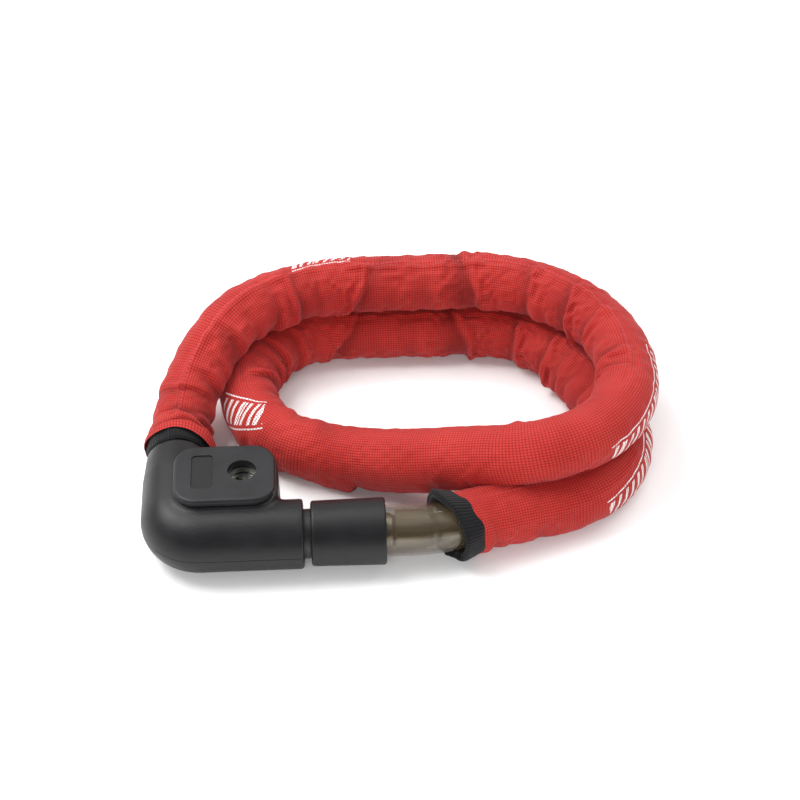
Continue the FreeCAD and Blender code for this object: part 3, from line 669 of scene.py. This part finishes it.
def refine(field, shape):
    """Smoothly resample a coarse closed-round field onto the fine grid."""
    rows, around = field.shape[:2]
    flat = np.concatenate([field, field[:, :1]], axis=1)
    a = np.linspace(0, around, shape[1], endpoint=False)
    j = a.astype(int)
    t = (a - j)[None, :, None]
    t = t * t * (3 - 2 * t)
    wide = flat[:, j] * (1 - t) + flat[:, j + 1] * t
    b = np.linspace(0, rows - 1, shape[0])
    i = np.minimum(b.astype(int), rows - 2)
    w = (b - i)[:, None, None]
    w = w * w * (3 - 2 * w)
    return wide[i] * (1 - w) + wide[i + 1] * w


def mouth_slide(v):
    """How far the sleeve's free end reaches towards the collar, round its edge."""
    return 4.1 * np.cos(v - math.radians(80)) - 0.4 + 0.45 * np.sin(3 * v + 0.6)


def sleeve_grid(shape, ripples):
    us = np.linspace(SLEEVE_U[0], SLEEVE_U[1], shape[0])
    v = np.arange(shape[1]) / shape[1] * 2 * math.pi
    radius, fold, ridge = sleeve_radius(us[:, None], v[None], ripples)
    points, _, inner, up = frames_along(us)
    most = limits(points, inner, up, v, us)
    over_band = np.where(us < BAND_END + 0.6, OVER_BAND_R + 0.05, HOSE_R + 0.35)[:, None]
    radius = np.clip(radius, over_band, most)
    drop = 0.5 + 0.5 * np.cos(wrap(v - math.radians(100)))
    start = 1 - ease(us, SLEEVE_U[0], 26)
    slide = -6.2 * start[:, None] * (drop[None] ** 1.5) + 0.8 * start[:, None] * np.sin(3 * v + 1)[None]
    end = ease(us, SLEEVE_U[1] - 14, SLEEVE_U[1])
    slide += end[:, None] * mouth_slide(v)[None]
    return us, v, radius, slide, fold, ridge


def build_sleeve():
    fine_us = np.linspace(SLEEVE_U[0], SLEEVE_U[1], FINE[0])
    fine_v = np.arange(FINE[1]) / FINE[1] * 2 * math.pi
    ripples = wave_field(fine_us[:, None], fine_v[None], 9, (7.0, 24.0), 0.3)
    ripples += wave_field(fine_us[:, None], fine_v[None], 7, (3.4, 7.0), 0.05)
    us, v, radius, slide, fold, ridge = sleeve_grid(FINE, ripples)
    co = tube_points(us, v, radius, slide)
    step = FINE[0] / COARSE[0], FINE[1] // COARSE[1]
    rows = np.minimum((np.arange(COARSE[0]) * step[0]).round().astype(int), FINE[0] - 1)
    rows[-1] = FINE[0] - 1
    moved = drape(co[rows][:, ::step[1]], us[rows])
    co = co + refine(moved, FINE)
    points, tangent, inner, up = frames_along(us)
    most = limits(points, inner, up, v, us)
    offset = co - points[:, None]
    shift = (offset * tangent[:, None]).sum(2)
    ring = offset - shift[..., None] * tangent[:, None]
    size = np.linalg.norm(ring, axis=2)
    over_band = np.where(us < BAND_END + 0.6, OVER_BAND_R, HOSE_R + 0.3)[:, None]
    held = np.clip(size, over_band, most)
    co = points[:, None] + ring * (held / size)[..., None] + shift[..., None] * tangent[:, None]
    normals = grid_normals(co)
    # Fold depth, kept as the "fold" attribute, from which the sleeve material paints shade into the folds.
    depth = np.clip(fold / 2.2, 0, 1)
    middles = [int(np.searchsorted(us, pivot(k) + PIVOT_PITCH / 2)) for k in range(SECTIONS)]
    cuts = [0] + middles + [len(us) - 1]
    pieces = []
    for k in range(SECTIONS + 1):
        i0, i1 = cuts[k], cuts[k + 1] + 1
        part = co[i0:i1]
        obj = new_object(f"woven_sleeve_{k}", (part.reshape(-1, 3) * MM).tolist(),
                         grid_faces(i1 - i0, len(v)), "sleeve_fabric")
        cloth_uv(obj.data, i1 - i0, len(v), us[i0:i1], CLOTH_R_MM)
        point_attribute(obj.data, "fold", depth[i0:i1])
        point_attribute(obj.data, "seam", np.clip(ridge[i0:i1], 0, 1))
        obj.data.normals_split_custom_set_from_vertices(normals[i0:i1].reshape(-1, 3).tolist())
        pieces.append(obj)
    for k in range(SECTIONS):
        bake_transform(pieces[k])
        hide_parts(f"sleeve_{k + 1}")
    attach(pieces[SECTIONS], f"cable_{SECTIONS}")
    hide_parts(f"sleeve_{SECTIONS}")


build_sleeve()


# ---------------------------------------------------------------- elastic hems
def band(name, us, outline, thick, body, node, seam_angle):
    """Soft band: outline(t, v) gives (radius, slide) of the outer face, folded in at both ends."""
    around = 120
    v = np.arange(around) / around * 2 * math.pi
    rows = len(us)
    t = np.linspace(0, 1, rows)
    radius, slide = outline(t[:, None], v[None])
    off_seam = wrap(v - math.radians(seam_angle))
    stitch = np.exp(-(off_seam / 0.05) ** 2)
    gather = np.exp(-((off_seam / 0.14) ** 2))
    radius = radius - 0.45 * stitch[None] + 0.5 * gather[None]
    edge = np.sqrt(np.clip(1 - (2 * t - 1) ** 8, 0.0, 1))[:, None]
    outer = radius - (1 - edge) * thick * 0.5
    inside = radius - thick + (1 - edge) * thick * 0.5
    outer_co = tube_points(us, v, outer, slide)
    inner_co = tube_points(us, v, inside, slide)
    co = np.concatenate([outer_co, inner_co[::-1]])
    faces = grid_faces(2 * rows, around)
    last = (2 * rows - 1) * around
    faces += [(last + j, last + (j + 1) % around, (j + 1) % around, j) for j in range(around)]
    obj = new_object(name, (co.reshape(-1, 3) * MM).tolist(), faces, "hem_elastic")
    cloth_uv(obj.data, 2 * rows, around, np.concatenate([us, us[::-1]]), CLOTH_R_MM)
    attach(obj, body)
    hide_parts(node)


def head_band(t, v):
    radius = 13.75 + 0.35 * np.sin(math.pi * t) + 0.16 * np.sin(5 * v + 1.0) * np.sin(math.pi * t)
    radius = radius + 0.22 * np.sin(9 * v + 5 * t)
    return radius, 0.35 * np.sin(3 * v) + 0 * t


def plug_band(t, v):
    flare = 3.0 * t ** 1.1
    radius = 13.9 + flare + 0.45 * np.sin(3 * v + 0.5) * t + 0.25 * np.sin(7 * v + 2 + 2 * t)
    under = np.exp(-((wrap(v - math.radians(-165)) / 0.6) ** 2))
    radius = radius - 1.6 * under * t + 0.6 * under * np.sin(14 * v + 6 * t) * t
    ragged = under * (4.2 * t + 1.2 * np.sin(13 * v) * t)
    return radius, mouth_slide(v) * (1 + 0.35 * t) + ragged + 0.25 * np.sin(5 * v) * t


band("head_band", np.linspace(0.9, BAND_END, 22), head_band, 1.6, "lock_head", "head_hem", -8)
band("plug_band", np.linspace(SLEEVE_TIP + 0.3, SLEEVE_TIP + 10.6, 24), plug_band,
     np.linspace(2.4, 4.4, 24)[:, None], f"cable_{SECTIONS}", "plug_hem", 150)


# ---------------------------------------------------------------- moulded head covers
TOWER_MM = (-29.3, -18.6, 15.2, 16.9)
TOWER_CORNER = 10.0


def foot_weight(p):
    """1 on the outer skin where the tower meets the arms, 0 elsewhere."""
    cx, cy = (TOWER_MM[0] + TOWER_MM[2]) / 2, (TOWER_MM[1] + TOWER_MM[3]) / 2
    qx = abs(p.x - cx) - (TOWER_MM[2] - TOWER_MM[0]) / 2 + TOWER_CORNER
    qy = abs(p.y - cy) - (TOWER_MM[3] - TOWER_MM[1]) / 2 + TOWER_CORNER
    off = math.hypot(max(qx, 0), max(qy, 0)) + min(max(qx, qy), 0) - TOWER_CORNER
    front = math.hypot(p.y - END[1], p.z - HEAD_Z)
    side = math.hypot(p.x - START[0], p.z - HEAD_Z)
    if p.z < 17 or off < -1.2 or off > 6 or (off > 0.6 and min(front, side) < 13.6):
        return 0.0
    return float(min(1, (p.z - 17) / 2, (6 - off) / 2, max(0, 31.8 - p.z) / 1.5))


def head_shells():
    """Both covers with moulded fillets, cut apart again at the parting line."""
    voxel = 0.6 * MM
    joined = bmesh.new()
    for name in ("upper_cover", "lower_cover"):
        joined.from_mesh(nodes[name].data)
    mesh = bpy.data.meshes.new("head_shell")
    joined.to_mesh(mesh)
    joined.free()
    obj = bpy.data.objects.new("head_shell", mesh)
    scene.collection.objects.link(obj)
    remesh = obj.modifiers.new("Remesh", "REMESH")
    remesh.mode = "VOXEL"
    remesh.voxel_size = voxel
    soften = obj.modifiers.new("Smooth", "SMOOTH")
    soften.factor = 0.5
    soften.iterations = 8
    apply_modifiers(obj)
    foot = obj.vertex_groups.new(name="foot")
    for vertex in obj.data.vertices:
        weight = foot_weight(vertex.co / MM)
        if weight > 0:
            foot.add([vertex.index], weight, "REPLACE")
    blend = obj.modifiers.new("Foot", "SMOOTH")
    blend.factor = 0.5
    blend.iterations = 34
    blend.vertex_group = "foot"
    apply_modifiers(obj)
    gap = 0.11 * MM     # half the open joint between the covers
    for name, node, side in (("moulded_upper", "upper_cover", 1), ("moulded_lower", "lower_cover", -1)):
        half = bmesh.new()
        half.from_mesh(obj.data)
        plane = Vector((0, 0, HEAD_Z * MM + side * gap))
        bmesh.ops.bisect_plane(half, geom=half.verts[:] + half.edges[:] + half.faces[:], dist=1e-7,
                               plane_co=plane, plane_no=(0, 0, -side), clear_outer=True)
        rim = [e for e in half.edges if e.is_boundary]
        bmesh.ops.triangle_fill(half, edges=rim, use_beauty=True, use_dissolve=False,
                                normal=(0, 0, -side))
        made = bpy.data.meshes.new(name)
        half.to_mesh(made)
        half.free()
        made.polygons.foreach_set("use_smooth", [True] * len(made.polygons))
        made.set_sharp_from_angle(angle=math.radians(40))
        piece = bpy.data.objects.new(name, made)
        scene.collection.objects.link(piece)
        made.materials.clear()
        dress(piece, "head_plastic")
        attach(piece, "lock_head")
        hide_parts(node)
    bpy.data.objects.remove(obj)


head_shells()


# ---------------------------------------------------------------- floor, light, camera
def floor():
    s = Shader("floor")
    s.set(Base_Color=s.mix(s.stretch(s.noise(30, detail=3.0), 0.3, 0.7), grey(0.93), grey(0.95)),
          Roughness=0.7, Specular_IOR_Level=0.2, Normal=s.bump(s.noise(900), 0.00005, 0.3))
    size = 4.0
    mesh = bpy.data.meshes.new("floor")
    corners = [(-size, -size, 0), (size, -size, 0), (size, size, 0), (-size, size, 0)]
    mesh.from_pydata(corners, [], [(0, 1, 2, 3)])
    obj = bpy.data.objects.new("floor", mesh)
    obj.location.z = -0.0002
    scene.collection.objects.link(obj)
    mesh.materials.append(s.mat)


def area_light(name, place, target, size, energy):
    lamp = bpy.data.lights.new(name, "AREA")
    lamp.shape = "SQUARE"
    lamp.size = size
    lamp.energy = energy
    obj = bpy.data.objects.new(name, lamp)
    obj.location = place
    obj.rotation_euler = (Vector(target) - Vector(place)).to_track_quat("-Z", "Y").to_euler()
    scene.collection.objects.link(obj)
    return obj


def studio_sky(world):
    """White studio with a darker side behind the camera, which shades the front faces."""
    tree = world.node_tree
    coord = tree.nodes.new("ShaderNodeTexCoord")
    split = tree.nodes.new("ShaderNodeSeparateXYZ")
    ramp = tree.nodes.new("ShaderNodeMapRange")
    shade = tree.nodes.new("ShaderNodeMix")
    shade.data_type = "RGBA"
    tree.links.new(coord.outputs["Generated"], split.inputs[0])
    tree.links.new(split.outputs[1], ramp.inputs["Value"])
    ramp.inputs["From Min"].default_value = -0.25
    ramp.inputs["From Max"].default_value = -0.6
    tree.links.new(ramp.outputs[0], shade.inputs[0])
    shade.inputs[6].default_value = (1.0, 1.0, 1.0, 1)
    shade.inputs[7].default_value = (0.22, 0.23, 0.25, 1)
    strip = tree.nodes.new("ShaderNodeMapRange")
    tree.links.new(split.outputs[2], strip.inputs["Value"])
    strip.inputs["From Min"].default_value = 0.62
    strip.inputs["From Max"].default_value = 0.45
    low_front = tree.nodes.new("ShaderNodeMath")
    low_front.operation = "MULTIPLY"
    tree.links.new(ramp.outputs[0], low_front.inputs[0])
    tree.links.new(strip.outputs[0], low_front.inputs[1])
    horizon = tree.nodes.new("ShaderNodeMix")
    horizon.data_type = "RGBA"
    tree.links.new(low_front.outputs[0], horizon.inputs[0])
    tree.links.new(shade.outputs[2], horizon.inputs[6])
    horizon.inputs[7].default_value = (0.015, 0.016, 0.02, 1)
    background = tree.nodes["Background"]
    tree.links.new(horizon.outputs[2], background.inputs[0])
    background.inputs[1].default_value = 0.68


floor()
low, high = cad_box
middle = (low + high) / 2
area_light("key", middle + Vector((-0.5, 0.2, 0.8)), middle, 0.65, 10.2)
area_light("fill", middle + Vector((0.55, 0.35, 0.8)), middle, 0.8, 4.5)
front = area_light("front", middle + Vector((-0.1, -0.9, 0.45)), middle, 0.7, 8.0)
front.visible_glossy = False    # lifts the cloth without shining on the plastic
world = bpy.data.worlds.new("studio")
scene.world = world
world.use_nodes = True
studio_sky(world)

AZIMUTH = math.radians(-3)
ELEVATION = math.radians(41.5)
back = Vector((math.sin(AZIMUTH) * math.cos(ELEVATION), -math.cos(AZIMUTH) * math.cos(ELEVATION),
               math.sin(ELEVATION)))
right = (-back).cross(Vector((0, 0, 1))).normalized()
lens = bpy.data.cameras.new("camera")
lens.lens = 90
lens.sensor_width = 36
STAND = (0.03515, -0.62339, 0.62413)
camera = bpy.data.objects.new("camera", lens)
turned = Matrix((right, right.cross(-back), back)).transposed().to_4x4()
camera.matrix_world = Matrix.Translation(STAND) @ turned
scene.collection.objects.link(camera)
scene.camera = camera
scene.view_settings.view_transform = "Standard"
